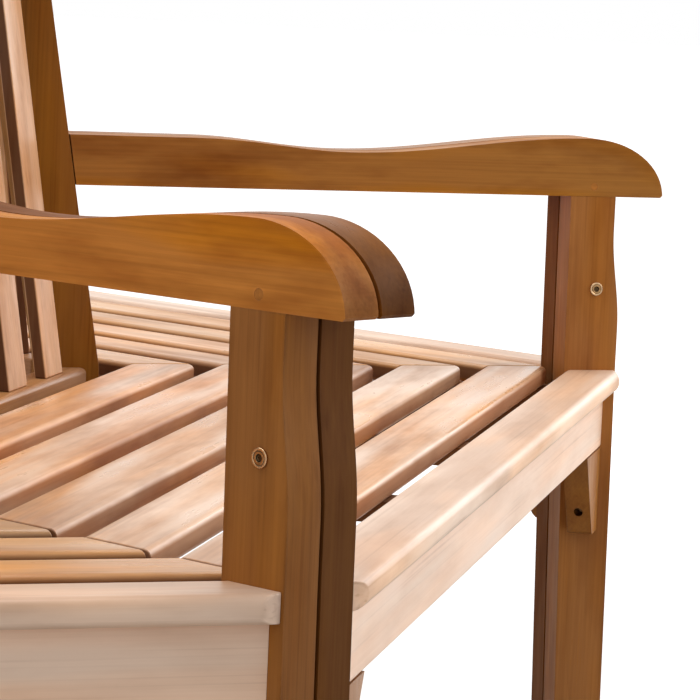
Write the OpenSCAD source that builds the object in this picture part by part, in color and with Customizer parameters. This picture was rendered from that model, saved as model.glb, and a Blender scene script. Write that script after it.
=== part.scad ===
// Half ring of a hexagonal garden bench: three trapezoid seats side by side, each
// turned 60 degrees from the next, with an armrest, front leg and back post at both
// ends of every seat. Millimetres, +Z up, origin on the ground in the middle of the
// footprint, middle seat facing -Y. Two half rings close to a full ring.

/* [Ring] */
// Distance from the ring's centre to the back edge of the first seat slat
inner_flat = 610; // [540:1:900]
// Gap between the planks of two neighbouring seats
plank_gap = 3; // [2:0.5:5]

/* [Seat] */
// Height of the seat surface above the ground
seat_h = 440; // [400:1:480]
// Width of a seat slat
slat_w = 51; // [45:0.5:60]
// Width of the front slat
front_slat_w = 48; // [40:0.5:60]
// How far the trimmed tips of the front slat stand back from the legs' front
tip_in = 2; // [0:0.5:6]
// Slot between two seat slats
slat_gap = 19.5; // [12:0.5:22]
// Thickness of a seat slat
slat_t = 18; // [16:0.5:22]
// Rounding of the slat edges
slat_r = 5; // [2:0.5:6]
// Rounding of the front slat's nose
nose_r = 7.5; // [4:0.5:8]
// Height of the apron under the front slat
apron_h = 51.5; // [30:0.5:64]
// Thickness of the apron
apron_t = 20; // [16:1:26]
// How far the apron stands back from the front slat's nose
apron_back = 15; // [13:0.5:24]
// Width of a cross batten under the slats
batten_w = 36; // [25:1:45]
// Thickness of a cross batten
batten_t = 15; // [12:0.5:20]
// Distance of each cross batten from the middle of the seat
batten_x = 140; // [110:1:170]
// Height of the side rail that carries the slat ends
side_rail_h = 48; // [40:1:60]

/* [Legs] */
// Thickness of the arm, leg, post and side rail planks
plank_t = 27; // [22:0.5:32]
// How far the leg's front stands back from the front slat's nose
leg_setback = 6.2; // [4:0.2:16]
// Depth of the front leg at seat height
leg_d = 49; // [44:0.5:56]
// Depth of the front leg at the armrest and at the ground
leg_end_d = 42.4; // [36:0.2:44]
// How far the leg's front edge swings in above the seat
leg_wave = 8; // [4:0.5:12]
// Height above the seat where the front edge starts to swing in
wave_low = 38; // [30:1:50]
// Height above the seat where the front edge has swung in
wave_high = 124; // [110:1:135]

/* [Armrests] */
// Height of the armrest's flat underside above the seat
arm_z = 154.5; // [145:0.5:200]
// Armrest height at the back
arm_back_h = 42.3; // [36:0.1:50]
// Armrest height at the dip in the middle
arm_waist_h = 33.5; // [28:0.5:38]
// Armrest height over the leg
arm_bulge_h = 50.9; // [44:0.1:56]
// How far the nose reaches past the leg's front at seat height
arm_nose = 36.4; // [20:0.2:45]
// Length of the rounded nose
nose_len = 70.8; // [50:0.2:80]

/* [Back] */
// Clearance from the first slat's back edge to the front of the post
post_clear = 14.2; // [12:0.2:24]
// Depth of the back post
post_d = 46; // [40:1:60]
// Height of the back above the seat
back_h = 430; // [360:1:480]
// Lean of the back post
back_lean = 9.2; // [6:0.1:14]
// Height of the lower back rail
back_rail_h = 52; // [40:1:60]
// Depth of the lower back rail
back_rail_d = 31; // [28:0.5:31]
// How far the lower back rail stands behind the post's front
back_rail_in = 9.3; // [2:0.1:11]
// Height of the crest rail
crest_h = 72; // [50:1:90]
// Thickness of the crest rail
crest_t = 26; // [22:1:32]
// Width of a back slat
back_slat_w = 46; // [40:1:56]
// Thickness of a back slat
back_slat_t = 10; // [8:0.5:14]
// Clearance from the outer back slat's top to the post
back_slat_end = 5; // [3:0.2:16]
// How far the back slats stand behind the post's front
back_slat_in = 16; // [13:0.5:20]
// How much more than the posts the back slats lean
back_slat_lean = 0.7; // [0:0.1:0.9]

/* [Fittings] */
// Diameter of the connector bolt's shank
bolt_d = 6; // [5:0.5:8]
// Diameter of the flat bolt head
head_d = 12; // [11:0.5:16]
// Height of the flat bolt head
head_t = 1.6; // [1:0.1:2.5]
// Clearance of the bolt holes on diameter
bolt_fit = 0.5; // [0.3:0.1:1]
// Height of the connector bolt above the seat
bolt_z = 72.5; // [65:0.5:85]
// Outer diameter of the nut's sleeve
sleeve_d = 8.5; // [8:0.1:10]
// Length of the nut's sleeve
sleeve_len = 22; // [15:1:24]
// Diameter of the wooden pegs
peg_d = 7; // [5:0.5:8]
// Width of a corner brace along the apron
brace_w = 80; // [70:1:110]
// Width of a corner brace at its foot
brace_foot_w = 28; // [22:1:34]
// Height of a corner brace
brace_h = 75; // [60:1:100]
// Thickness of a corner brace
brace_t = 22; // [18:1:22]
// Shank diameter of the brace screws
screw_d = 4.5; // [3.5:0.5:5]
// Head diameter of the brace screws
screw_head_d = 8; // [7:0.5:9]

/* [Hidden] */

// angle of a mitre from the middle of a seat, and the turn between two seats
mitre = 30;
turn = 2 * mitre;
slat_pitch = slat_w + slat_gap;
// distances from the ring's centre, square to the middle of a seat
front_flat = inner_flat + 5 * slat_pitch + front_slat_w;
apron_flat = front_flat - apron_back;
// offset of a plank's inner face from the mitre plane
plank_in = plank_t + plank_gap / 2;
// distances from the ring's centre along a mitre
function along(flat, off) = (flat - off * sin(mitre)) / cos(mitre);
leg_front = along(front_flat - leg_setback, plank_in);
post_front = along(inner_flat - post_clear, plank_in);
arm_tip = leg_front + arm_nose;
lean = tan(back_lean);
// lean of the back slats seen square to the seat
flat_lean = lean * cos(mitre) + tan(back_slat_lean);
rail_flat = inner_flat - post_clear - back_rail_in;
slat_face = inner_flat - post_clear - back_slat_in;
// half the room between the posts where the back slats end, and the slats' spacing
back_half = (slat_face - back_slat_t - flat_lean * (back_h - crest_h)) * tan(mitre)
  - plank_in / cos(mitre);
back_slat_pitch = (back_half - back_slat_end - back_slat_w / 2) / 2.5;
foot_z = -seat_h;
slat_under = -slat_t;
apron_under = slat_under - apron_h;
// the connector bolt sits just in front of the leg's middle
bolt_r = leg_front - leg_d / 2 + 2;
peg_r = leg_front - leg_d / 2 - 4.5;
peg_z = arm_z + 8.7;
tenon_h = 20;
tenon_t = 9;
tenon_w = 26;
tenon_fit = 0.4;
screw_z = apron_under - 0.71 * brace_h;
screw_flat = apron_flat - brace_t / 2;
screw_grip = 18;
screw_head_fit = 0.4;
// where an apron's front corner meets the leg
brace_x = apron_flat * tan(mitre) - plank_in / cos(mitre);
// y of the ring's centre, so that the origin is the middle of the footprint
centre_y = ((arm_tip * cos(mitre) + plank_in * sin(mitre)) + plank_gap / 2) / 2;
wood = "#b3743a";
wood_dark = "#8a5427";
wood_light = "#d9a27a";
gold = "#c9a36a";
big = 4 * front_flat;

// ---------- profiles ----------
// smooth step from 0 to 1
function ease(t) = (1 - cos(180 * max(0, min(1, t)))) / 2;
// front and back edge of a front leg at height z over the seat
function leg_f(z) = z < 0 ? leg_front + 4 * z / foot_z
  : leg_front - leg_wave * ease((z - wave_low) / (wave_high - wave_low));
function leg_b(z) = z < 0
  ? leg_front - leg_d + (leg_d + 4 - leg_end_d) * z / foot_z
  : leg_front - leg_d - (leg_end_d + leg_wave - leg_d) * z / arm_z;
// front edge of a back post
function post_f(z) = post_front - lean * max(0, z);
// height of the armrest's top over its underside, s measured back from the tip
arm_len = arm_tip - post_f(arm_z);
bulge_s = arm_tip - nose_len;
waist_s = leg_front - 0.48 * arm_len;
flat_s = leg_front - 0.725 * arm_len;
function arm_h(r) =
  r > bulge_s ? arm_bulge_h * sqrt(max(0, 1 - pow((r - bulge_s) / nose_len, 2))) :
  r > waist_s ? arm_waist_h + (arm_bulge_h - arm_waist_h)
    * ease((r - waist_s) / (bulge_s - waist_s)) :
  r > flat_s ? arm_waist_h + (arm_back_h - arm_waist_h)
    * ease((waist_s - r) / (waist_s - flat_s)) : arm_back_h;
arm_top_z = arm_z + arm_back_h;
leg_pts = concat(
  [for (z = [0:5]) [leg_b(arm_z - z * arm_z / 5), arm_z - z * arm_z / 5]],
  [[leg_b(foot_z), foot_z + 3], [leg_b(foot_z) + 3, foot_z]],
  [[leg_f(foot_z) - 3, foot_z], [leg_f(foot_z), foot_z + 3]],
  [for (i = [0:14]) let (z = i < 1 ? 0 : wave_low + (i - 1) * (wave_high - wave_low) / 13)
    [leg_f(z), z]],
  [[leg_f(arm_z), arm_z]]);
post_pts = [
  [post_front - post_d, foot_z + 3], [post_front - post_d + 3, foot_z],
  [post_front - 3, foot_z], [post_front, foot_z + 3], [post_front, 0],
  [post_f(back_h), back_h - 12], [post_f(back_h) - 12, back_h],
  [post_f(back_h) - post_d + 12, back_h], [post_f(back_h) - post_d, back_h - 12],
  [post_front - post_d, 0]];
arm_pts = concat(
  [[post_f(arm_z), arm_z], [arm_tip - 2, arm_z], [arm_tip, arm_z + 2]],
  [for (i = [1:16]) let (a = i * 90 / 16)
    [bulge_s + nose_len * cos(a), arm_z + max(2.5, arm_bulge_h * sin(a))]],
  [for (i = [1:18]) let (r = bulge_s + (waist_s - bulge_s) * i / 18) [r, arm_z + arm_h(r)]],
  [for (i = [1:10]) let (r = waist_s + (flat_s - waist_s) * i / 10) [r, arm_z + arm_h(r)]],
  [[post_f(arm_top_z), arm_top_z]]);
side_rail_pts = [
  [post_front, slat_under], [post_front, slat_under - side_rail_h],
  [leg_b(slat_under - side_rail_h), slat_under - side_rail_h],
  [leg_b(slat_under), slat_under]];
// a corner brace tapers from the apron to its foot: [inward from the leg, height]
brace_pts = [[-30, 0], [brace_w, 0], [brace_foot_w + 2, 3 - brace_h],
  [brace_foot_w - 2, -brace_h], [-30, -brace_h]];

// rectangle [w, h] from its lower left corner, with one radius per corner
module soft_rect(w, h, r) {
  polygon([for (c = [0:3], i = [0:4]) let (a = 180 + 90 * c + 22.5 * i, k = r[c],
    x = (c == 1 || c == 2) ? w - k : k, y = (c == 2 || c == 3) ? h - k : k)
    [x + k * cos(a), y + k * sin(a)]]);
}

// ---------- placing ----------
// a seat's own frame: ring centre at the origin, seat surface at z 0, facing -Y
module seat(i) {
  translate([0, centre_y, seat_h]) rotate([0, 0, (i - 2) * turn]) children();
}
// plan of one seat with its ends set in from the mitres
module wedge(off) {
  a0 = off / sin(mitre);
  a1 = big / 2;
  x1 = (a1 - a0) * tan(mitre);
  translate([0, 0, -big / 2]) linear_extrude(big)
    polygon([[0, -a0], [-x1, -a1], [x1, -a1]]);
}
// a plank at one end of a seat, drawn as [distance along the mitre, height]
module end_plank(side) {
  mirror([side < 0 ? 1 : 0, 0, 0]) rotate([0, 0, mitre - 90])
    translate([0, -plank_gap / 2, 0]) rotate([90, 0, 0]) children();
}
// a board that runs along a seat, drawn as [distance from the centre, height]
module board(off) {
  intersection() {
    rotate([90, 0, -90]) translate([0, 0, -big / 2]) linear_extrude(big) children();
    wedge(off);
  }
}

// ---------- pieces of one seat ----------
module seat_slat(k) {
  board(plank_gap / 2) translate([inner_flat + (k - 1) * slat_pitch, -slat_t])
    soft_rect(slat_w, slat_t, [slat_r, slat_r, slat_r, slat_r]);
}
module front_slat() {
  difference() {
    board(plank_in) translate([front_flat - front_slat_w, -slat_t])
      soft_rect(front_slat_w, slat_t, [slat_r, nose_r, nose_r, slat_r]);
    for (s = [-1, 1]) end_plank(s) translate([leg_front - tip_in, -slat_t - 1, -big / 2])
      cube([big, slat_t + 2, big]);
  }
}
module apron() {
  board(plank_in) translate([apron_flat - apron_t, apron_under])
    soft_rect(apron_t, apron_h, [2, 3, 0.5, 0.5]);
}
module battens() {
  for (s = [-1, 1]) translate([s * batten_x - batten_w / 2, -apron_flat + apron_t,
    slat_under - batten_t])
    cube([batten_w, apron_flat - apron_t - rail_flat, batten_t]);
}
module side_rails() {
  for (s = [-1, 1]) end_plank(s) linear_extrude(plank_t) polygon(side_rail_pts);
}
module front_leg(side) {
  difference() {
    end_plank(side) difference() {
      union() {
        linear_extrude(plank_t) polygon(leg_pts);
        translate([peg_r - tenon_w / 2, arm_z - 1, (plank_t - tenon_t) / 2])
          cube([tenon_w, tenon_h + 1, tenon_t]);
      }
      translate([bolt_r, bolt_z, -1])
        cylinder(d = (side < 0 ? sleeve_d : bolt_d) + bolt_fit, h = plank_t + 2, $fn = 48);
      translate([peg_r, peg_z, -1]) cylinder(d = peg_d, h = plank_t + 2, $fn = 48);
    }
    brace_screw(side);
  }
}
module armrest(side) {
  end_plank(side) difference() {
    linear_extrude(plank_t) polygon(arm_pts);
    translate([peg_r - (tenon_w + tenon_fit) / 2, arm_z - 1,
      (plank_t - tenon_t - tenon_fit) / 2])
      cube([tenon_w + tenon_fit, tenon_h + 1 + tenon_fit, tenon_t + tenon_fit]);
    translate([peg_r, peg_z, -1]) cylinder(d = peg_d, h = plank_t + 2, $fn = 48);
  }
}
module back_post(side) {
  end_plank(side) linear_extrude(plank_t) polygon(post_pts);
}
module corner_brace(side) {
  difference() {
    intersection() {
      mirror([side < 0 ? 1 : 0, 0, 0])
        translate([brace_x, -apron_flat + brace_t, apron_under])
        rotate([90, 0, 0]) linear_extrude(brace_t) mirror([1, 0]) polygon(brace_pts);
      wedge(plank_in);
    }
    brace_screw(side);
    at_screw(side) rotate([0, 180, 0]) cylinder(d = screw_head_d, h = brace_w, $fn = 32);
  }
}
// the seat of a brace screw's head, Z pointing into the leg
module at_screw(side) {
  mirror([side < 0 ? 1 : 0, 0, 0]) translate([brace_x - screw_grip, -screw_flat, screw_z])
    rotate([0, 90, 0]) children();
}
// shank of a brace screw, from the brace into the leg
module brace_screw(side) {
  at_screw(side) cylinder(d = screw_d, h = 2 * screw_grip, $fn = 32);
}
module screw_piece(side) {
  brace_screw(side);
  at_screw(side) rotate([0, 180, 0]) difference() {
    cylinder(d = screw_head_d - screw_head_fit, h = 2.2, $fn = 32);
    translate([0, 0, 1]) cylinder(d = 3, h = 2, $fn = 6);
  }
}
module lower_back_rail() {
  board(plank_in) translate([rail_flat - back_rail_d, -back_rail_h])
    soft_rect(back_rail_d, back_rail_h, [2, 2, 5, 2]);
}
// a raked board face: [distance from the centre, height] from z0 to z1
function raked(flat, t, z0, z1) = [[flat - t - flat_lean * z0, z0], [flat - flat_lean * z0, z0],
  [flat - flat_lean * z1, z1], [flat - t - flat_lean * z1, z1]];
module back_slats() {
  for (i = [-2.5:2.5]) translate([i * back_slat_pitch - back_slat_w / 2, 0, 0])
    rotate([90, 0, -90]) mirror([0, 0, 1]) linear_extrude(back_slat_w)
      polygon(raked(slat_face, back_slat_t, 0, back_h - crest_h));
}
module crest_rail() {
  board(plank_in) polygon(raked(slat_face + (crest_t - back_slat_t) / 2, crest_t,
    back_h - crest_h, back_h));
}
module peg(side) {
  end_plank(side) translate([peg_r, peg_z, 0]) cylinder(d = peg_d, h = plank_t, $fn = 48);
}

// ---------- connector between two seats, drawn at the right end of a seat ----------
module connector_bolt() {
  end_plank(1) translate([bolt_r, bolt_z, plank_t]) difference() {
    union() {
      translate([0, 0, -2 * plank_t - plank_gap + 6]) cylinder(d = bolt_d,
        h = 2 * plank_t + plank_gap - 6, $fn = 48);
      cylinder(d = head_d, h = head_t, $fn = 48);
    }
    translate([0, 0, head_t - 1.2]) cylinder(d = 4.6, h = 2, $fn = 6);
  }
}
module sleeve_nut() {
  end_plank(1) translate([bolt_r, bolt_z, -plank_t - plank_gap]) difference() {
    union() {
      cylinder(d = sleeve_d, h = sleeve_len, $fn = 48);
      translate([0, 0, -head_t]) cylinder(d = head_d, h = head_t, $fn = 48);
    }
    translate([0, 0, 2]) cylinder(d = bolt_d, h = sleeve_len, $fn = 48);
    translate([0, 0, -head_t - 1]) cylinder(d = 4.6, h = 2.2, $fn = 6);
  }
}

// ---------- nodes ----------
module seat_1_slat_1() { color(wood_light) seat(1) seat_slat(1); }
module seat_1_slat_2() { color(wood_light) seat(1) seat_slat(2); }
module seat_1_slat_3() { color(wood_light) seat(1) seat_slat(3); }
module seat_1_slat_4() { color(wood_light) seat(1) seat_slat(4); }
module seat_1_slat_5() { color(wood_light) seat(1) seat_slat(5); }
module seat_1_front_slat() { color(wood_light) seat(1) front_slat(); }
module seat_1_apron() { color(wood) seat(1) apron(); }
module seat_1_battens() { color(wood_dark) seat(1) battens(); }
module seat_1_side_rails() { color(wood_dark) seat(1) side_rails(); }
module seat_1_leg_left() { color(wood) seat(1) front_leg(-1); }
module seat_1_leg_right() { color(wood) seat(1) front_leg(1); }
module seat_1_arm_left() { color(wood) seat(1) armrest(-1); }
module seat_1_arm_right() { color(wood) seat(1) armrest(1); }
module seat_1_post_left() { color(wood_dark) seat(1) back_post(-1); }
module seat_1_post_right() { color(wood_dark) seat(1) back_post(1); }
module seat_1_back_rail() { color(wood) seat(1) lower_back_rail(); }
module seat_1_crest_rail() { color(wood) seat(1) crest_rail(); }
module seat_1_back_slats() { color(wood_light) seat(1) back_slats(); }
module seat_2_slat_1() { color(wood_light) seat(2) seat_slat(1); }
module seat_2_slat_2() { color(wood_light) seat(2) seat_slat(2); }
module seat_2_slat_3() { color(wood_light) seat(2) seat_slat(3); }
module seat_2_slat_4() { color(wood_light) seat(2) seat_slat(4); }
module seat_2_slat_5() { color(wood_light) seat(2) seat_slat(5); }
module seat_2_front_slat() { color(wood_light) seat(2) front_slat(); }
module seat_2_apron() { color(wood) seat(2) apron(); }
module seat_2_battens() { color(wood_dark) seat(2) battens(); }
module seat_2_side_rails() { color(wood_dark) seat(2) side_rails(); }
module seat_2_leg_left() { color(wood) seat(2) front_leg(-1); }
module seat_2_leg_right() { color(wood) seat(2) front_leg(1); }
module seat_2_arm_left() { color(wood) seat(2) armrest(-1); }
module seat_2_arm_right() { color(wood) seat(2) armrest(1); }
module seat_2_post_left() { color(wood_dark) seat(2) back_post(-1); }
module seat_2_post_right() { color(wood_dark) seat(2) back_post(1); }
module seat_2_back_rail() { color(wood) seat(2) lower_back_rail(); }
module seat_2_crest_rail() { color(wood) seat(2) crest_rail(); }
module seat_2_back_slats() { color(wood_light) seat(2) back_slats(); }
module seat_3_slat_1() { color(wood_light) seat(3) seat_slat(1); }
module seat_3_slat_2() { color(wood_light) seat(3) seat_slat(2); }
module seat_3_slat_3() { color(wood_light) seat(3) seat_slat(3); }
module seat_3_slat_4() { color(wood_light) seat(3) seat_slat(4); }
module seat_3_slat_5() { color(wood_light) seat(3) seat_slat(5); }
module seat_3_front_slat() { color(wood_light) seat(3) front_slat(); }
module seat_3_apron() { color(wood) seat(3) apron(); }
module seat_3_battens() { color(wood_dark) seat(3) battens(); }
module seat_3_side_rails() { color(wood_dark) seat(3) side_rails(); }
module seat_3_leg_left() { color(wood) seat(3) front_leg(-1); }
module seat_3_leg_right() { color(wood) seat(3) front_leg(1); }
module seat_3_arm_left() { color(wood) seat(3) armrest(-1); }
module seat_3_arm_right() { color(wood) seat(3) armrest(1); }
module seat_3_post_left() { color(wood_dark) seat(3) back_post(-1); }
module seat_3_post_right() { color(wood_dark) seat(3) back_post(1); }
module seat_3_back_rail() { color(wood) seat(3) lower_back_rail(); }
module seat_3_crest_rail() { color(wood) seat(3) crest_rail(); }
module seat_3_back_slats() { color(wood_light) seat(3) back_slats(); }
module corner_braces() { color(wood) for (i = [1:3], s = [-1, 1]) seat(i) corner_brace(s); }
module brace_screws() { color(gold) for (i = [1:3], s = [-1, 1]) seat(i) screw_piece(s); }
module arm_pegs() { color(wood_dark) for (i = [1:3], s = [-1, 1]) seat(i) peg(s); }
module connector_bolts() { color(gold) for (i = [1:2]) seat(i) connector_bolt(); }
module sleeve_nuts() { color(gold) for (i = [1:2]) seat(i) sleeve_nut(); }

seat_1_slat_1();
seat_1_slat_2();
seat_1_slat_3();
seat_1_slat_4();
seat_1_slat_5();
seat_1_front_slat();
seat_1_apron();
seat_1_battens();
seat_1_side_rails();
seat_1_leg_left();
seat_1_leg_right();
seat_1_arm_left();
seat_1_arm_right();
seat_1_post_left();
seat_1_post_right();
seat_1_back_rail();
seat_1_crest_rail();
seat_1_back_slats();
seat_2_slat_1();
seat_2_slat_2();
seat_2_slat_3();
seat_2_slat_4();
seat_2_slat_5();
seat_2_front_slat();
seat_2_apron();
seat_2_battens();
seat_2_side_rails();
seat_2_leg_left();
seat_2_leg_right();
seat_2_arm_left();
seat_2_arm_right();
seat_2_post_left();
seat_2_post_right();
seat_2_back_rail();
seat_2_crest_rail();
seat_2_back_slats();
seat_3_slat_1();
seat_3_slat_2();
seat_3_slat_3();
seat_3_slat_4();
seat_3_slat_5();
seat_3_front_slat();
seat_3_apron();
seat_3_battens();
seat_3_side_rails();
seat_3_leg_left();
seat_3_leg_right();
seat_3_arm_left();
seat_3_arm_right();
seat_3_post_left();
seat_3_post_right();
seat_3_back_rail();
seat_3_crest_rail();
seat_3_back_slats();
corner_braces();
brace_screws();
arm_pegs();
connector_bolts();
sleeve_nuts();
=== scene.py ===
"""Dresses a garden bench that bends round a tree: oiled boards, brass fittings, plain studio."""
import math
from collections import namedtuple

import bpy
from bpy.props import FloatProperty, FloatVectorProperty, PointerProperty
from bpy.types import Operator, Panel, PropertyGroup
from mathutils import Matrix, Vector


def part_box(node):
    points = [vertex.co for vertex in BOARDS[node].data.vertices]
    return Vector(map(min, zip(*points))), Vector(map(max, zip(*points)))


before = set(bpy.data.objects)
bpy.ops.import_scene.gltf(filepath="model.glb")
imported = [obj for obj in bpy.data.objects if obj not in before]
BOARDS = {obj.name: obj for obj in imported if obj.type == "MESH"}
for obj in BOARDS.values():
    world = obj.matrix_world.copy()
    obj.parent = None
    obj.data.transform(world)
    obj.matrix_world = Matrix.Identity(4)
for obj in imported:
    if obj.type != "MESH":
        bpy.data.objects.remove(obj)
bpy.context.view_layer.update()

bl_info = {
    "name": "Tree bench dresser",
    "version": (1, 0, 0),
    "blender": (4, 5, 0),
    "location": "3D View > Sidebar > Bench",
    "description": "Gives the bench's boards and fittings their finish and sets up its studio",
    "category": "Object",
}

# ---------- the bench ----------
SEATS = (1, 2, 3)
MIDDLE_SEAT = 2
SIDES = {"left": -1, "right": 1}
SLATS = ("slat_1", "slat_2", "slat_3", "slat_4", "slat_5")
TURN = math.radians(60)
MITRE = math.radians(30)
# an edge steeper than this is a sawn edge: it is rounded over, and shading doesn't run across it
SAWN = math.radians(40)
# before the rounding, corners this close are welded and faces this nearly flat are joined
SAME_SPOT, SAME_FLAT = 0.00001, math.radians(0.4)
# how far from a butting end a board's edges stay sharp
BUTT_LENGTH = 0.015

# ---------- the timber ----------
# a board's name says which of these many planks it is cut from, and a step on is so many planks
PLANKS, STEP = 997, 37
# boards that are cut some steps on, where the figure suits them better
CUTS = {"seat_1_arm_right": 4, "seat_2_arm_right": 4, "seat_2_arm_left": 4, "seat_2_leg_right": 3}
Figure = namedtuple("Figure", "along across detail rough span", defaults=[None])
# each figure of the wood: how often its noise repeats in a metre along and across the grain, the
# noise's detail and roughness, and the span of it over which the figure comes in
FIGURES = {"wander": Figure(2.2, 14, 1.0, 0.5),
           "fine": Figure(38, 1500, 2.0, 0.6),
           "fibre": Figure(7, 420, 4.0, 0.62, (0.3, 0.7)),
           "band": Figure(0.8, 70, 2.0, 0.5, (0.3, 0.7)),
           "pore": Figure(70, 1050, 0.0, 0.5, (0.63, 0.72)),
           "streak": Figure(2.6, 330, 1.0, 0.5, (0.58, 0.70)),
           "cloud": Figure(5.5, 24, 4.0, 0.58, (0.46, 0.68)),
           "golden": Figure(4.5, 22, 2.0, 0.5, (0.44, 0.66)),
           "washed_and_sheen": Figure(3.0, 42, 2.0, 0.45, (0.44, 0.66))}
# side of the block of timber that all boards are cut from
TIMBER_SIDE = 9.0
# where the pith lies off a board's middle, sideways and below, and its slope along the board
PITH_ASIDE, PITH_BELOW, PITH_SLOPE = (-0.05, 0.05), (0.025, 0.11), (-0.035, 0.035)
# how far a growth ring wanders, and, in rings, how uneven their widths are
RING_WANDER, RING_UNEVEN = 0.026, 1.6
# how much each figure darkens the wood
DARK_ALWAYS, DARK_FIBRE, DARK_BAND = 0.08, 0.32, 0.22
# pale patches on the tops: partly bleached wood, partly a painted sheen
BLEACHED_AND_SHEEN = (0.86, 0.67, 0.53, 1)
# what these places multiply the wood's colour by
SMOKY, OPEN_PORE, SOAKED_END = (0.60, 0.48, 0.38, 1), (0.32, 0.25, 0.20, 1), (0.40, 0.36, 0.42, 1)
# how much rougher clouds, fibres, sides with painted light and shade, and sawn ends are than the
# rest of a board
DULL_CLOUD, DULL_FIBRE, DULL_SIDE, DULL_END = 0.20, 0.08, 0.55, 0.15
WAX_ROUGHNESS = 0.42
# how far wear reaches in from an edge, and how often it breaks up in a metre
WEAR_REACH, WEAR_BREAKS = 0.003, 45.0
# strength and depth of the open grain
GRAIN_BUMP, GRAIN_DEPTH = 0.2, 0.0004

# ---------- the brass ----------
# radii on a bolt's head: where the raised rim, painted bright as a highlight, and the groove
# inside it, painted dark as shade, come in and go out again, and where the socket begins
RIM = ((0.0042, 0.0048), (0.0062, 0.0056))
GROOVE = ((0.0036, 0.0041), (0.0046, 0.0042))
SOCKET = (0.00265, 0.00235)
# near-black painted shade inside the hex socket
SOCKET_SHADE = (0.02, 0.012, 0.006, 1)
# brass where edges are rubbed bright, also painted on the bolt rims as a highlight
RUBBED_AND_HIGHLIT_BRASS = (0.98, 0.72, 0.46, 1)
# strength and depth of the rings and the film's unevenness
BRASS_BUMP, BRASS_DEPTH = 0.7, 0.00025

# ---------- the studio ----------
# where the camera stands, and how it is turned about Z, tipped down and leaned
EYE = (-2.324858, -0.858419, 0.782942)
YAW, TIP, LEAN = 0.211027, 0.115706, 0.0442
# each lamp's place, side and power, and the spot that all of them face
LAMPS = {"Window right": ((1.6, -3.4, 2.3), 2.6, 78.0),
         "Window left": ((-3.4, 0.8, 2.0), 2.4, 27.0),
         "Window behind": ((3.4, -1.9, 1.5), 2.0, 37.0),
         "Overhead": ((0.2, 0.6, 3.4), 3.2, 96.0)}
LAMP_AIM = (0.0, 0.0, 0.55)
# the side of the sky that gloss sees dim, where the dimming starts and is full, and what is left
DIM_WAY, DIM_SPAN, DIM_SKY = (-0.55, 0.83, 0.0), (0.05, 0.75), 0.22
FLOOR_HALF = 40.0
# the floor's glow in the camera's view: its distances from the bench and its strengths there
GLOW_SPAN, GLOW = (1.6, 3.4), (0.46, 1.0)
# how much of that glow gloss sees
GLOSS_GLOW = 0.4


# ---------- settings ----------
def colour(name, description, default):
    return FloatVectorProperty(name=name, description=description, subtype="COLOR",
                               min=0.0, max=1.0, size=3, default=default)


def rounding(name, description, default, most=0.006):
    return FloatProperty(name=name, description="Rounding of " + description, subtype="DISTANCE",
                         min=0.0, max=most, default=default)


class WoodSettings(PropertyGroup):
    """The tones of the bench's boards."""
    frame_pale: colour("Frame, pale", "Lighter tone of arms, posts, crest rails and braces",
                       (0.47, 0.187, 0.037))
    frame_deep: colour("Frame, deep", "Darker tone of arms, posts, crest rails and braces",
                       (0.235, 0.089, 0.017))
    leg_pale: colour("Leg, pale", "Lighter tone of the front legs", (0.45, 0.182, 0.049))
    leg_deep: colour("Leg, deep", "Darker tone of the front legs", (0.235, 0.090, 0.024))
    seat_pale: colour("Seat, pale", "Lighter tone of the middle seat's slats and all backs",
                      (0.74, 0.405, 0.20))
    seat_deep: colour("Seat, deep", "Darker tone of the middle seat's slats and all backs",
                      (0.47, 0.215, 0.088))
    end_pale: colour("End seats, pale", "Lighter tone of the end seats' slats",
                     (0.76, 0.40, 0.155))
    end_deep: colour("End seats, deep", "Darker tone of the end seats' slats",
                     (0.47, 0.205, 0.065))
    # the front pair is paler than the seat: partly its own tone, partly a painted sheen on noses
    # and aprons
    front_pale: colour("Front, pale", "Lighter tone of front slats and aprons",
                       (0.80, 0.57, 0.42))
    front_deep: colour("Front, deep", "Darker tone of front slats and aprons",
                       (0.64, 0.40, 0.26))
    under_pale: colour("Underframe, pale", "Lighter tone of battens and side rails",
                       (0.27, 0.115, 0.045))
    under_deep: colour("Underframe, deep", "Darker tone of battens and side rails",
                       (0.12, 0.048, 0.018))
    ring_width: FloatProperty(name="Ring width", description="Distance between two growth rings",
                              subtype="DISTANCE", min=0.001, max=0.01, default=0.0036)
    pores: FloatProperty(name="Pores", description="How dark the open pores are",
                         subtype="FACTOR", min=0.0, max=1.0, default=0.05)


class EdgeSettings(PropertyGroup):
    """How far the edges of boards and fittings are rounded over."""
    arm: rounding("Armrest", "the armrests", 0.003)
    leg: rounding("Leg", "the front legs", 0.0022)
    post: rounding("Post", "the back posts", 0.001)
    slat: rounding("Slat", "slats, aprons, back rails and the underframe", 0.0014, 0.004)
    crest: rounding("Crest rail", "the top rail of the back", 0.004)
    peg: rounding("Peg", "the armrests' pegs", 0.0003, 0.002)
    metal: rounding("Fitting", "bolts, nuts and screws", 0.0009, 0.002)


class FittingSettings(PropertyGroup):
    """Colours of the metal fittings."""
    brass: colour("Brass", "Colour of the bolt heads", (0.50, 0.29, 0.13))
    # the tarnish colour is also painted into the bolt heads' grooves as shade
    tarnish: colour("Tarnish", "Colour of the dull film in the recesses", (0.085, 0.04, 0.018))


class StudioSettings(PropertyGroup):
    """Camera, floor and lamps."""
    lens: FloatProperty(name="Lens", description="Focal length of the camera", unit="CAMERA",
                        min=20.0, max=300.0, default=167.555)
    floor: colour("Floor", "Colour of the floor", (0.52, 0.515, 0.51))
    sky: FloatProperty(name="Sky light", description="Strength of the light from all round",
                       min=0.0, max=2.0, default=0.36)
    lamps: FloatProperty(name="Lamps", description="Factor on the strength of all lamps",
                         min=0.0, max=4.0, default=1.0)


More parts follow.
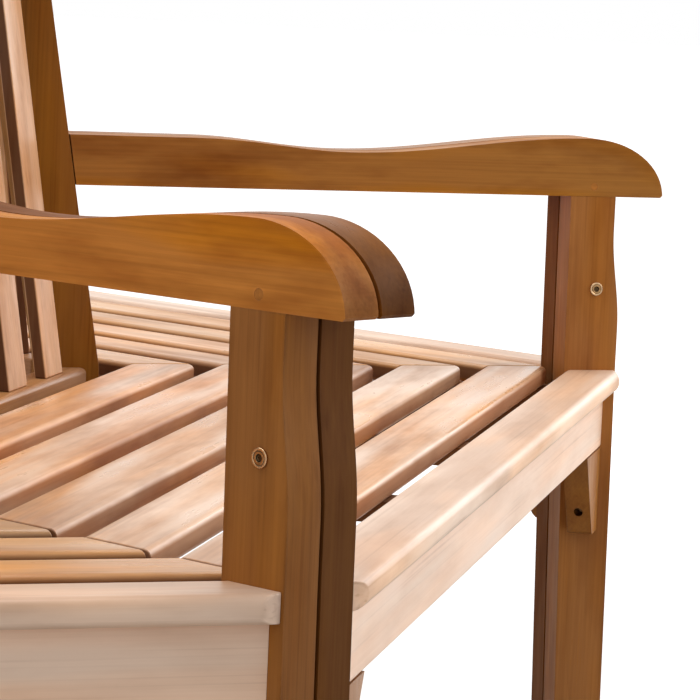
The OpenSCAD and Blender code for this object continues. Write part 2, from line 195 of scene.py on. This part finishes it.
# ---------- node building ----------
class Graph:
    """Adds nodes to one node tree and links them as they are made."""

    def __init__(self, tree):
        self.tree = tree

    def put(self, kind, inputs=(), out=0, **settings):
        """Adds a node, sets or links its inputs, and returns one of its output sockets."""
        node = self.tree.nodes.new(kind)
        for key, value in settings.items():
            setattr(node, key, value)
        for key, value in dict(inputs).items():
            if isinstance(value, bpy.types.NodeSocket):
                self.link(value, node.inputs[key])
            else:
                node.inputs[key].default_value = value
        return node.outputs[out]

    def link(self, source, target):
        self.tree.links.new(source, target)

    def math(self, operation, a, b=0.0, c=0.0):
        return self.put("ShaderNodeMath", {0: a, 1: b, 2: c}, operation=operation)

    def times(self, a, b):
        return self.math("MULTIPLY", a, b)

    def vector(self, operation, a, b=(0.0, 0.0, 0.0), scale=1.0):
        """Vector maths: gives a vector, or a number for a dot product or a length."""
        number = operation in ("DOT_PRODUCT", "LENGTH")
        return self.put("ShaderNodeVectorMath", {0: a, 1: b, 3: scale}, out=int(number),
                        operation=operation)

    def split(self, vector):
        """The x, y and z of a vector."""
        node = self.tree.nodes.new("ShaderNodeSeparateXYZ")
        self.link(vector, node.inputs[0])
        return node.outputs

    def fit(self, value, low, high, to_low=0.0, to_high=1.0):
        """Maps a value from one span to another, and holds it inside."""
        return self.put("ShaderNodeMapRange", {0: value, 1: low, 2: high, 3: to_low, 4: to_high})

    def mix(self, factor, a, b, how="MIX"):
        """Mixes two colours."""
        return self.put("ShaderNodeMix", {0: factor, 6: a, 7: b}, out=2, data_type="RGBA",
                        blend_type=how)

    def multiply(self, a, b):
        """Multiplies two colours."""
        return self.mix(1.0, a, b, "MULTIPLY")

    def tint(self, rgb, saturation, value):
        return self.put("ShaderNodeHueSaturation", {"Color": rgb, "Saturation": saturation,
                                                    "Value": value})

    def noise(self, vector, detail=2.0, rough=0.5, scale=1.0):
        return self.put("ShaderNodeTexNoise", {"Vector": vector, "Scale": scale,
                                               "Detail": detail, "Roughness": rough})

    def bump(self, height, strength, depth):
        return self.put("ShaderNodeBump", {"Height": height, "Strength": strength,
                                           "Distance": depth})

    def spot(self):
        """The place on the object."""
        return self.put("ShaderNodeTexCoord", out=3)


def new_group(name, inputs, outputs):
    """A shader node group with named sockets; returns it with its graph and its two ends."""
    group = bpy.data.node_groups.new(name, "ShaderNodeTree")
    for label, kind, default in inputs:
        socket = group.interface.new_socket(name=label, in_out="INPUT",
                                            socket_type="NodeSocket" + kind)
        socket.default_value = default
    for label, kind in outputs:
        group.interface.new_socket(name=label, in_out="OUTPUT", socket_type="NodeSocket" + kind)
    given = group.nodes.new("NodeGroupInput").outputs
    result = group.nodes.new("NodeGroupOutput").inputs
    return group, Graph(group), given, result


def use_group(graph, group, **values):
    """Places a node group with its own values; returns its outputs."""
    node = graph.tree.nodes.new("ShaderNodeGroup")
    node.node_tree = group
    for key, value in values.items():
        node.inputs[key.replace("_", " ")].default_value = value
    return node.outputs


# ---------- the oiled board ----------
def board_axes(g, given):
    """A spot and its face's direction in the board's axes: x along the grain, y and z across."""
    spot = g.vector("SUBTRACT", g.spot(), given["Middle"])
    face = g.put("ShaderNodeTexCoord", out=1)
    turned = []
    for vector in (spot, face):
        lying = g.put("ShaderNodeVectorRotate", {"Vector": vector, "Angle": given["Grain turn"]},
                      rotation_type="Z_AXIS")
        x, y, z = g.split(lying)
        standing = g.put("ShaderNodeCombineXYZ", {0: z, 1: x, 2: y})
        turned.append(g.put("ShaderNodeMix", {0: given["Upright"], 4: lying, 5: standing},
                            out=1, data_type="VECTOR"))
    return turned


def growth_rings(g, given, spot, luck, wander):
    """How dark the growth rings are, round a pith that lies outside the board."""
    x, y, z = g.split(spot)
    aside, below, slope = (g.fit(value, 0, 1, *span) for value, span in
                           zip(g.split(luck), (PITH_ASIDE, PITH_BELOW, PITH_SLOPE)))
    across = g.math("ADD", g.math("MULTIPLY_ADD", x, slope, y), aside)
    up = g.math("ADD", z, below)
    radius = g.math("SQRT", g.math("ADD", g.times(across, across), g.times(up, up)))
    radius = g.math("ADD", radius, g.math("MULTIPLY_ADD", wander, RING_WANDER, -RING_WANDER / 2))
    turns = g.math("DIVIDE", radius, given["Ring width"])
    uneven = g.put("ShaderNodeTexNoise", {"W": turns, "Scale": 0.7, "Detail": 1.0},
                   noise_dimensions="1D")
    # each ring darkens slowly and ends at once
    year = g.math("FRACT", g.math("MULTIPLY_ADD", uneven, RING_UNEVEN, turns))
    return g.times(g.math("POWER", year, 2.2), g.fit(year, 1.0, 0.88))


def oiled_board():
    """Colour, roughness and height of an oiled hardwood board with its grain along one way."""
    if "Oiled board" in bpy.data.node_groups:
        return bpy.data.node_groups["Oiled board"]
    group, g, given, result = new_group(
        "Oiled board",
        (("Pale", "Color", (0.4, 0.2, 0.1, 1)), ("Deep", "Color", (0.2, 0.1, 0.05, 1)),
         ("Middle", "Vector", (0, 0, 0)), ("Grain turn", "Float", 0.0),
         ("Upright", "Float", 0.0), ("Board", "Float", 0.0), ("Ring width", "Float", 0.0036),
         ("Pores", "Float", 0.45), ("Clouds", "Float", 0.5), ("Rings", "Float", 0.35),
         # Bleach: pale patches, partly bleached wood and partly painted sheen
         ("Roughness", "Float", 0.5), ("Bleach", "Float", 0.0),
         # Stained sides and Stain: painted shade on the board's sides, and painted light where
         # Stain is above 1
         ("Stained sides", "Float", 0.0), ("Stain", "Color", (0.42, 0.27, 0.16, 1)),
         ("Golden", "Float", 0.5)),
        (("Color", "Color"), ("Roughness", "Float"), ("Height", "Float"), ("Polish", "Float")))
    spot, face = board_axes(g, given)
    luck = g.put("ShaderNodeTexWhiteNoise", {"W": given["Board"]}, out=1, noise_dimensions="1D")
    timber = g.vector("ADD", spot, g.vector("SCALE", luck, scale=TIMBER_SIDE))
    noise = {name: g.noise(g.vector("MULTIPLY", timber, (f.along, f.across, f.across)),
                           f.detail, f.rough) for name, f in FIGURES.items()}
    shows = {name: g.fit(noise[name], *f.span) for name, f in FIGURES.items() if f.span}
    rings = growth_rings(g, given, spot, luck, noise["wander"])

    tone = g.math("MULTIPLY_ADD", shows["fibre"], DARK_FIBRE, DARK_ALWAYS)
    tone = g.math("MULTIPLY_ADD", rings, given["Rings"], tone)
    tone = g.math("MULTIPLY_ADD", shows["band"], DARK_BAND, tone)
    wood = g.mix(g.fit(tone, 0, 1), given["Pale"], given["Deep"])
    wood = g.mix(g.times(shows["golden"], given["Golden"]), wood, g.tint(wood, 1.16, 1.26))
    # pale patches, partly bleached wood and partly painted sheen
    wood = g.mix(g.times(shows["washed_and_sheen"], given["Bleach"]), wood, BLEACHED_AND_SHEEN)
    # smoky clouds, and fine streaks that follow them
    smoky = g.multiply(wood, SMOKY)
    wood = g.mix(g.times(shows["cloud"], given["Clouds"]), wood, smoky)
    streak = g.times(shows["streak"], g.fit(noise["cloud"], 0.40, 0.62, 0.25, 0.9))
    wood = g.mix(g.times(streak, 0.5), wood, smoky)
    # open pores stand in bands
    pore = g.times(shows["pore"], g.fit(noise["band"], 0.38, 0.6))
    wood = g.mix(g.times(pore, given["Pores"]), wood, g.multiply(wood, OPEN_PORE))
    # the sides, all faces that don't look up or down, are multiplied by the side colour: painted
    # shade on most boards, painted light where that colour is above 1, as on the front slats; the
    # sides get no coat
    facing = g.split(face)
    side = g.times(g.fit(g.math("ABSOLUTE", facing[2]), 0.75, 0.1), given["Stained sides"])
    wood = g.mix(side, wood, g.multiply(wood, given["Stain"]))
    g.link(g.math("SUBTRACT", 1.0, side), result["Polish"])
    # sawn ends drink more oil
    end_grain = g.fit(g.math("ABSOLUTE", facing[0]), 0.40, 0.97)
    wood = g.mix(g.times(end_grain, 0.55), wood, g.multiply(wood, SOAKED_END))
    g.link(wood, result["Color"])

    dull = g.math("MULTIPLY_ADD", g.fit(noise["cloud"], 0.35, 0.65), DULL_CLOUD,
                  given["Roughness"])
    for value, much in ((noise["fibre"], DULL_FIBRE), (side, DULL_SIDE), (end_grain, DULL_END)):
        dull = g.math("MULTIPLY_ADD", value, much, dull)
    g.link(dull, result["Roughness"])
    height = g.math("MULTIPLY_ADD", noise["fine"], 0.25, g.times(noise["fibre"], 0.55))
    g.link(height, result["Height"])
    return group


def worn_edge():
    """A mask that is 1 on outer edges and breaks up along them."""
    if "Worn edge" in bpy.data.node_groups:
        return bpy.data.node_groups["Worn edge"]
    group, g, given, result = new_group(
        "Worn edge", (("Reach", "Float", 0.003), ("Breaks", "Float", 60.0)),
        (("Mask", "Float"),))
    # an edge is where the face, rounded over, would turn off its own way
    rounded = g.put("ShaderNodeBevel", {"Radius": given["Reach"]}, samples=4)
    flat = g.put("ShaderNodeNewGeometry", out=1)
    edge = g.fit(g.vector("DOT_PRODUCT", rounded, flat), 0.995, 0.86)
    broken = g.noise(g.spot(), 3.0, scale=given["Breaks"])
    g.link(g.times(edge, g.fit(broken, 0.4, 0.62)), result["Mask"])
    return group


# ---------- materials ----------
def finish_material(name):
    """A new material; returns it, its graph and the inputs of its Principled shader."""
    material = bpy.data.materials.new(name)
    material.use_nodes = True
    return material, Graph(material.node_tree), material.node_tree.nodes["Principled BSDF"].inputs


def shade(rgb, level=1.0, warmth=0.0):
    """A colour made lighter or darker, and warmer or cooler."""
    r, g, b = rgb
    return (min(1, r * level * (1 + warmth)), g * level, max(0, b * level * (1 - warmth)), 1)


def plank(node):
    """The number of the plank that a board is cut from."""
    first = sum((i + 1) * ord(letter) for i, letter in enumerate(node))
    return float((first + STEP * CUTS.get(node, 0)) % PLANKS)


def board_material(node, tone, turn, upright=0.0, level=1.0, warmth=0.0, rings=0.16, clouds=0.5,
                   golden=0.4, pores=1.0, rough=0.24, specular=0.16, wax=0.0, wear=0.6,
                   rub=0.55, bleach_and_sheen=0.0, side_light_shade=0.0, side_light_shade_colour=(0.42, 0.27, 0.16)):
    """The oiled wood of one board, cut from its own place in the tree.

    tone names its pair of colours, and turn is the angle of its length, or, where upright is 1,
    of its width. level and warmth shade it. rings, clouds, golden, pores, bleach and stain are
    the strengths of what they name: bleach mixes in pale patches that are partly bleached wood
    and partly painted sheen, and stain paints the board's sides in side_light_shade_colour's
    colour, as shade, and as light where that colour is above 1. rough is its roughness, specular
    its specular level
    and wax its coat. wear is how far its edges are rubbed, and rub how bright they are then:
    below 1 darkened as by oil, above 1 lightened, partly by wear and partly as a painted
    highlight.
    """
    low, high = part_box(node)
    wood = bpy.context.scene.bench_wood
    material, g, shader = finish_material("Oiled wood " + node)
    shader["Specular IOR Level"].default_value = specular
    shader["Coat Roughness"].default_value = WAX_ROUGHNESS
    board = use_group(g, oiled_board(),
                      Pale=shade(getattr(wood, tone + "_pale"), level, warmth),
                      Deep=shade(getattr(wood, tone + "_deep"), level, warmth),
                      Middle=(low + high) / 2, Grain_turn=-turn, Upright=upright,
                      Board=plank(node), Ring_width=wood.ring_width, Pores=pores * wood.pores,
                      Clouds=clouds, Rings=rings, Roughness=rough, Bleach=bleach_and_sheen,
                      Stained_sides=side_light_shade, Stain=(*side_light_shade_colour, 1), Golden=golden)
    edge = use_group(g, worn_edge(), Reach=WEAR_REACH, Breaks=WEAR_BREAKS)
    # the edges turn toward a tint of the wood: below 1 darker as by oil, above 1 lighter, partly
    # by wear and partly as a painted highlight on the rounded edges
    rubbed = g.tint(board["Color"], 0.95, rub)
    g.link(g.mix(g.times(edge["Mask"], wear), board["Color"], rubbed), shader["Base Color"])
    g.link(board["Roughness"], shader["Roughness"])
    if wax and side_light_shade:
        g.link(g.times(board["Polish"], wax), shader["Coat Weight"])
    else:
        shader["Coat Weight"].default_value = wax
    g.link(g.bump(board["Height"], GRAIN_BUMP, GRAIN_DEPTH), shader["Normal"])
    return material


def axis_distance(g, spot, node):
    """The distance of a spot from the nearer of the two bolt axes through a node."""
    nearest = 1.0
    # a bolt joins each of these seats to the next one on its right
    for seat in (1, 2):
        out = mitre_turn(seat, "right")
        axis = Vector((-math.sin(out), math.cos(out), 0.0))
        corners = [v.co for v in BOARDS[node].data.vertices if (v.co.x < 0) == (seat == 1)]
        centre = sum(corners, Vector()) / len(corners)
        away = g.vector("CROSS_PRODUCT", g.vector("SUBTRACT", spot, centre), axis)
        nearest = g.math("MINIMUM", nearest, g.vector("LENGTH", away))
    return nearest


def brass_material(node):
    """Bronzed brass with a tarnished film and rubbed edges, and rings round each bolt axis:

    the raised rim is painted bright as a highlight, the groove and the socket dark as shade.
    """
    fittings = bpy.context.scene.bench_fittings
    tarnish = (*fittings.tarnish, 1)
    material, g, shader = finish_material("Bronzed brass " + node)
    shader["Metallic"].default_value = 1.0
    spot = g.spot()
    film = g.noise(spot, 4.0, scale=420.0)
    edge = use_group(g, worn_edge(), Reach=0.0006, Breaks=900.0)
    tone = g.mix(g.times(g.fit(film, 0.45, 0.7), 0.45), (*fittings.brass, 1), tarnish)
    bright = g.mix(0.5, tone, RUBBED_AND_HIGHLIT_BRASS)
    tone = g.mix(edge["Mask"], tone, bright)
    height = film
    # the rings belong to what lies on a bolt's axis: a painted highlight on the rim,
    # and painted shade in the groove and the socket
    if node != "brace_screws":
        radius = axis_distance(g, spot, node)
        rim, groove = (g.times(g.fit(radius, *start), g.fit(radius, *end))
                       for start, end in (RIM, GROOVE))
        tone = g.mix(g.times(rim, 0.8), tone, bright)
        tone = g.mix(g.times(groove, 0.8), tone, tarnish)
        tone = g.mix(g.times(g.fit(radius, *SOCKET), 0.85), tone, SOCKET_SHADE)
        height = g.math("SUBTRACT", g.math("MULTIPLY_ADD", film, 0.15, rim), groove)
    g.link(tone, shader["Base Color"])
    g.link(g.fit(film, 0.3, 0.7, 0.16, 0.32), shader["Roughness"])
    g.link(g.bump(height, BRASS_BUMP, BRASS_DEPTH), shader["Normal"])
    return material


# ---------- shaping ----------
def mesh_group(name):
    """A geometry node group from mesh to mesh; returns it, its graph and its two ends."""
    group = bpy.data.node_groups.new(name, "GeometryNodeTree")
    for way in ("INPUT", "OUTPUT"):
        group.interface.new_socket(name="Mesh", in_out=way, socket_type="NodeSocketGeometry")
    given = group.nodes.new("NodeGroupInput").outputs[0]
    result = group.nodes.new("NodeGroupOutput").inputs[0]
    return group, Graph(group), given, result


def more_than(g, value, least):
    return g.put("FunctionNodeCompare", {0: value, 1: least}, data_type="FLOAT",
                 operation="GREATER_THAN")


def sawn_edges(g):
    return more_than(g, g.put("GeometryNodeInputMeshEdgeAngle"), SAWN)


def smooth_by_angle():
    """Geometry nodes: shades smooth over all but sawn edges, and drops old normals."""
    if "Smooth by angle" in bpy.data.node_groups:
        return bpy.data.node_groups["Smooth by angle"]
    group, g, given, result = mesh_group("Smooth by angle")
    normals = g.put("GeometryNodeSetMeshNormal", {"Mesh": given}, mode="SHARPNESS").node
    normals.inputs["Remove Custom"].default_value = True
    g.link(sawn_edges(g), normals.inputs["Edge Sharpness"])
    g.link(normals.outputs[0], result)
    return group


def weigh_edges(name, way, start):
    """Geometry nodes: bevel weight 1 on sawn edges, and 0 short of a point along a way."""
    group, g, given, result = mesh_group(name)
    reach = g.vector("DOT_PRODUCT", g.put("GeometryNodeInputPosition"), way)
    free = more_than(g, reach, start)
    both = g.put("FunctionNodeBooleanMath", {0: sawn_edges(g), 1: free}, operation="AND")
    g.link(g.put("GeometryNodeStoreNamedAttribute",
                 {"Geometry": given, "Name": "bevel_weight_edge", "Value": both},
                 data_type="FLOAT", domain="EDGE"), result)
    return group


def ease_edges(board, width, segments=3, butt=None):
    """Rounds a board's sawn edges over, as a modifier on the CAD node.

    butt is the way along a board whose near end meets another board and stays sharp.
    """
    weld = board.modifiers.new("Weld", "WELD")
    weld.merge_threshold = SAME_SPOT
    flat = board.modifiers.new("Join flats", "DECIMATE")
    flat.decimate_type = "DISSOLVE"
    flat.angle_limit = SAME_FLAT
    if butt:
        near = min(v.co.dot(butt) for v in board.data.vertices)
        weights = board.modifiers.new("Edge weights", "NODES")
        weights.node_group = weigh_edges("Edge weights " + board.name, butt, near + BUTT_LENGTH)
    bevel = board.modifiers.new("Eased edges", "BEVEL")
    bevel.width = width
    bevel.segments = segments
    bevel.limit_method = "WEIGHT" if butt else "ANGLE"
    bevel.angle_limit = SAWN
    bevel.use_clamp_overlap = True
    nodes = board.modifiers.new("Smooth", "NODES")
    nodes.node_group = smooth_by_angle()
    even = board.modifiers.new("Even shading", "WEIGHTED_NORMAL")
    even.keep_sharp = True


def dress(node, material, width, segments=3, butt=None):
    board = BOARDS[node]
    board.data.materials.clear()
    board.data.materials.append(material)
    ease_edges(board, width, segments, butt)


def dress_board(node, tone, turn, width, segments=3, butt=None, **look):
    dress(node, board_material(node, tone, turn, **look), width, segments, butt)


def seat_turn(seat):
    """Angle of a seat's length about Z."""
    return (seat - MIDDLE_SEAT) * TURN


def mitre_turn(seat, side):
    """Angle of the way along an end plank, from the trunk outwards."""
    return seat_turn(seat) - math.pi / 2 + SIDES[side] * MITRE


def end_planks(part):
    """Each seat's left and right plank of one kind: its node's name and its way outwards."""
    for seat in SEATS:
        for side in SIDES:
            yield f"seat_{seat}_{part}_{side}", mitre_turn(seat, side)


# ---------- operators ----------
class BENCH_OT_seat_slats(Operator):
    """Finish the seat slats, front slats and aprons"""
    bl_idname = "bench.seat_slats"
    bl_label = "Seat slats"

    # the levels that slats take in turn, so that neighbours differ
    LEVELS = (1.0, 0.88, 1.06, 0.95, 1.02, 0.91, 1.08)
    ALL = {"rings": 0.05, "specular": 0.5, "pores": 0.0}
    # on the middle and end seats the side colour paints shade onto the slats' sides
    MIDDLE = {"clouds": 0.8, "rough": 0.20, "wax": 0.18, "bleach_and_sheen": 0.65, "side_light_shade": 0.8,
              "side_light_shade_colour": (0.52, 0.33, 0.16), "golden": 0.8, "wear": 0.25, "rub": 1.3}
    ENDS = {"clouds": 0.8, "rough": 0.20, "wax": 0.18, "bleach_and_sheen": 0.22, "side_light_shade": 0.9,
            "side_light_shade_colour": (0.20, 0.12, 0.07), "golden": 0.7, "wear": 0.25, "rub": 1.3}
    # the front slat and the apron are lightened, partly their own tone and partly painted sheen;
    # the front slat's side colour, above 1, paints light onto its nose and front, and its bright
    # edges are partly a painted highlight
    FRONT_SLAT = {"level": 0.81, "clouds": 0.45, "rough": 0.32, "wax": 0.45, "bleach_and_sheen": 0.55,
                  "side_light_shade": 0.7, "side_light_shade_colour": (1.35, 1.42, 1.5), "golden": 1.0, "wear": 0.8,
                  "rub": 1.5}
    APRON = {"level": 1.18, "clouds": 0.3, "rough": 0.32, "wax": 0.45, "bleach_and_sheen": 0.5,
             "golden": 0.35, "wear": 0.25, "rub": 1.3}

    def execute(self, context):
        for seat in SEATS:
            middle = seat == MIDDLE_SEAT
            looks = []
            for k in range(len(SLATS)):
                level = self.LEVELS[(k + 3 * seat) % len(self.LEVELS)]
                level *= 1.03 if middle else 0.95
                looks.append(dict(self.MIDDLE if middle else self.ENDS, level=level))
            looks += [self.FRONT_SLAT, self.APRON]
            tones = ["seat" if middle else "end"] * len(SLATS) + ["front"] * 2
            parts = zip((*SLATS, "front_slat", "apron"), tones, looks)
            for k, (part, tone, look) in enumerate(parts):
                warmth = 0.04 * math.sin(5.1 * k + seat)
                dress_board(f"seat_{seat}_{part}", tone, seat_turn(seat),
                            context.scene.bench_edges.slat, warmth=warmth, **self.ALL, **look)
        return {"FINISHED"}


class BENCH_OT_legs(Operator):
    """Finish the front legs"""
    bl_idname = "bench.legs"
    bl_label = "Front legs"

    # level, warmth and specular level of each leg that has its own; a level is partly the wood's
    # own tone and partly painted light and shade for where the leg stands to the light
    TONES_AND_PAINTED_LIGHT = {"seat_1_leg_right": (0.82, 0.0, 0.10), "seat_2_leg_left": (0.42, 0.06, 0.05),
             "seat_2_leg_right": (1.1, 0.0, 0.10), "seat_3_leg_left": (0.58, 0.08, 0.02)}

    def execute(self, context):
        for node, turn in end_planks("leg"):
            level, warmth, specular = self.TONES_AND_PAINTED_LIGHT.get(node, (0.75, 0.0, 0.16))
            dress_board(node, "leg", turn, context.scene.bench_edges.leg, upright=1.0,
                        level=level, warmth=warmth, specular=specular, clouds=0.6)
        return {"FINISHED"}


class BENCH_OT_armrests(Operator):
    """Finish the armrests"""
    bl_idname = "bench.armrests"
    bl_label = "Armrests"

    # level, warmth and specular level of each armrest that has its own; a level is partly the
    # wood's own tone and partly painted light and shade for where the armrest stands to the light
    TONES_AND_PAINTED_LIGHT = {"seat_1_arm_right": (1.30, 0.04, 0.08), "seat_2_arm_left": (0.44, 0.14, 0.05),
             "seat_2_arm_right": (1.12, -0.05, 0.10), "seat_3_arm_left": (0.7, 0.0, 0.1)}

    def execute(self, context):
        for node, turn in end_planks("arm"):
            level, warmth, specular = self.TONES_AND_PAINTED_LIGHT.get(node, (0.9, 0.0, 0.14))
            outwards = Vector((math.cos(turn), math.sin(turn), 0.0))
            dress_board(node, "frame", turn, context.scene.bench_edges.arm, segments=4,
                        butt=outwards, level=level, warmth=warmth, specular=specular, rings=0.12,
                        clouds=1.0, golden=0.8, wear=0.5, rub=1.35)
        return {"FINISHED"}


class BENCH_OT_posts(Operator):
    """Finish the back posts"""
    bl_idname = "bench.posts"
    bl_label = "Back posts"

    def execute(self, context):
        for seat in SEATS:
            for side, way in SIDES.items():
                # the two posts at a mitre differ a little
                level = 0.6 + 0.04 * (seat + way)
                dress_board(f"seat_{seat}_post_{side}", "frame", mitre_turn(seat, side),
                            context.scene.bench_edges.post, upright=1.0, level=level,
                            specular=0.06)
        return {"FINISHED"}


class BENCH_OT_backs(Operator):
    """Finish the back slats, crest rails and lower back rails"""
    bl_idname = "bench.backs"
    bl_label = "Backs"

    # the back slats' side colour paints dark shade onto their sides
    SLATS = {"upright": 1.0, "level": 0.98, "bleach_and_sheen": 0.2, "side_light_shade": 0.9, "rub": 1.2,
             "side_light_shade_colour": (0.16, 0.10, 0.07)}
    RAIL = {"level": 0.52, "warmth": 0.14, "bleach_and_sheen": 0.1, "rub": 1.2}

    def execute(self, context):
        edges = context.scene.bench_edges
        for seat in SEATS:
            turn, name = seat_turn(seat), f"seat_{seat}_"
            dress_board(name + "back_slats", "seat", turn, edges.slat, **self.SLATS)
            dress_board(name + "back_rail", "seat", turn, edges.slat, **self.RAIL)
            dress_board(name + "crest_rail", "frame", turn, edges.crest, segments=4, level=1.1)
        return {"FINISHED"}


class BENCH_OT_underframe(Operator):
    """Finish the battens, side rails and corner braces"""
    bl_idname = "bench.underframe"
    bl_label = "Underframe"

    def execute(self, context):
        width = context.scene.bench_edges.slat
        for seat in SEATS:
            for part, way in (("battens", seat_turn(seat) - math.pi / 2),
                              ("side_rails", mitre_turn(seat, "left"))):
                dress_board(f"seat_{seat}_{part}", "under", way, width, rough=0.4)
        dress_board("corner_braces", "frame", 0.0, width, upright=1.0, level=0.95)
        return {"FINISHED"}


class BENCH_OT_pegs(Operator):
    """Finish the wooden pegs in the armrests"""
    bl_idname = "bench.pegs"
    bl_label = "Pegs"

    def execute(self, context):
        dress_board("arm_pegs", "frame", mitre_turn(1, "right") + math.pi / 2,
                    context.scene.bench_edges.peg, level=1.5)
        return {"FINISHED"}


class BENCH_OT_fittings(Operator):
    """Finish the connector bolts, sleeve nuts and brace screws"""
    bl_idname = "bench.fittings"
    bl_label = "Fittings"

    def execute(self, context):
        for node in ("connector_bolts", "sleeve_nuts", "brace_screws"):
            dress(node, brass_material(node), context.scene.bench_edges.metal, segments=4)
        return {"FINISHED"}


class BENCH_OT_studio(Operator):
    """Set up the floor, the lamps and the camera"""
    bl_idname = "bench.studio"
    bl_label = "Studio"

    def execute(self, context):
        scene, studio = context.scene, context.scene.bench_studio
        self.sky(scene, studio)
        self.floor(scene, studio)
        self.lamps(scene, studio)
        self.camera(scene, studio)
        scene.view_settings.view_transform = "Standard"
        return {"FINISHED"}

    def sky(self, scene, studio):
        """Even light from all round; the camera sees it white, and gloss sees one side dim."""
        world = bpy.data.worlds.new("Studio")
        scene.world = world
        world.use_nodes = True
        g = Graph(world.node_tree)
        ray = world.node_tree.nodes.new("ShaderNodeLightPath").outputs
        seen = g.math("MAXIMUM", ray["Is Camera Ray"], ray["Is Transmission Ray"])
        side = g.vector("DOT_PRODUCT", g.put("ShaderNodeTexCoord"), DIM_WAY)
        gloss = g.math("SUBTRACT", g.fit(side, *DIM_SPAN, 1.0, DIM_SKY), studio.sky)
        strength = g.math("ADD", g.fit(seen, 0, 1, studio.sky, 1.0),
                          g.times(ray["Is Glossy Ray"], gloss))
        background = world.node_tree.nodes["Background"].inputs
        background["Color"].default_value = (1, 1, 1, 1)
        g.link(strength, background["Strength"])

    def floor(self, scene, studio):
        """A pale floor that glows white far from the bench in the camera's view."""
        mesh = bpy.data.meshes.new("Studio floor")
        mesh.from_pydata([(x * FLOOR_HALF, y * FLOOR_HALF, 0) for x, y in
                          ((-1, -1), (1, -1), (1, 1), (-1, 1))], [], [(0, 1, 2, 3)])
        floor = bpy.data.objects.new("Studio floor", mesh)
        scene.collection.objects.link(floor)
        material, g, shader = finish_material("Studio floor")
        shader["Base Color"].default_value = (*studio.floor, 1)
        shader["Roughness"].default_value = 0.9
        shader["Specular IOR Level"].default_value = 0.1
        nodes = material.node_tree.nodes
        ray = nodes.new("ShaderNodeLightPath").outputs
        seen = g.math("MAXIMUM", ray["Is Camera Ray"], g.times(ray["Is Glossy Ray"], GLOSS_GLOW))
        strength = g.times(seen, g.fit(g.vector("LENGTH", g.spot()), *GLOW_SPAN, *GLOW))
        glow = g.put("ShaderNodeEmission", {"Color": (1, 1, 1, 1), "Strength": strength})
        both = g.put("ShaderNodeAddShader", {0: nodes["Principled BSDF"].outputs[0], 1: glow})
        g.link(both, nodes["Material Output"].inputs["Surface"])
        mesh.materials.append(material)

    def lamps(self, scene, studio):
        """Square lamps that all face the bench."""
        for name, (place, side, power) in LAMPS.items():
            data = bpy.data.lights.new(name, "AREA")
            data.shape = "SQUARE"
            data.size = side
            data.energy = power * studio.lamps
            lamp = bpy.data.objects.new(name, data)
            lamp.location = place
            way = Vector(LAMP_AIM) - lamp.location
            lamp.rotation_euler = way.to_track_quat("-Z", "Y").to_euler()
            scene.collection.objects.link(lamp)

    def camera(self, scene, studio):
        """The camera, off the left end and a little above the armrests, with a long lens."""
        ahead = Vector((math.cos(YAW) * math.cos(TIP), math.sin(YAW) * math.cos(TIP),
                        -math.sin(TIP)))
        right = Vector((math.sin(YAW), -math.cos(YAW), 0.0))
        up = right.cross(ahead)
        right, up = (right * math.cos(LEAN) + up * math.sin(LEAN),
                     up * math.cos(LEAN) - right * math.sin(LEAN))
        data = bpy.data.cameras.new("Camera")
        data.lens = studio.lens
        data.clip_end = 200.0
        camera = bpy.data.objects.new("Camera", data)
        turn = Matrix((right, up, -ahead)).transposed().to_4x4()
        camera.matrix_world = Matrix.Translation(EYE) @ turn
        scene.collection.objects.link(camera)
        scene.camera = camera


STEPS = (BENCH_OT_seat_slats, BENCH_OT_legs, BENCH_OT_armrests, BENCH_OT_posts, BENCH_OT_backs,
         BENCH_OT_underframe, BENCH_OT_pegs, BENCH_OT_fittings, BENCH_OT_studio)
SETTINGS = {"bench_wood": WoodSettings, "bench_edges": EdgeSettings,
            "bench_fittings": FittingSettings, "bench_studio": StudioSettings}


class BENCH_PT_sidebar(Panel):
    """The bench's sizes and colours, and its steps"""
    bl_idname = "BENCH_PT_sidebar"
    bl_label = "Tree bench"
    bl_space_type = "VIEW_3D"
    bl_region_type = "UI"
    bl_category = "Bench"

    def draw(self, context):
        for name, group in SETTINGS.items():
            box = self.layout.box()
            for key in group.__annotations__:
                box.prop(getattr(context.scene, name), key)
        for step in STEPS:
            self.layout.operator(step.bl_idname)


def register():
    for group in (*SETTINGS.values(), *STEPS, BENCH_PT_sidebar):
        bpy.utils.register_class(group)
    for name, group in SETTINGS.items():
        setattr(bpy.types.Scene, name, PointerProperty(type=group))


def unregister():
    for name in SETTINGS:
        delattr(bpy.types.Scene, name)
    for group in (BENCH_PT_sidebar, *reversed(STEPS), *reversed(SETTINGS.values())):
        bpy.utils.unregister_class(group)


def main():
    register()
    for step in STEPS:
        area, name = step.bl_idname.split(".")
        getattr(getattr(bpy.ops, area), name)()
    bpy.context.view_layer.update()


if __name__ == "__main__":
    main()
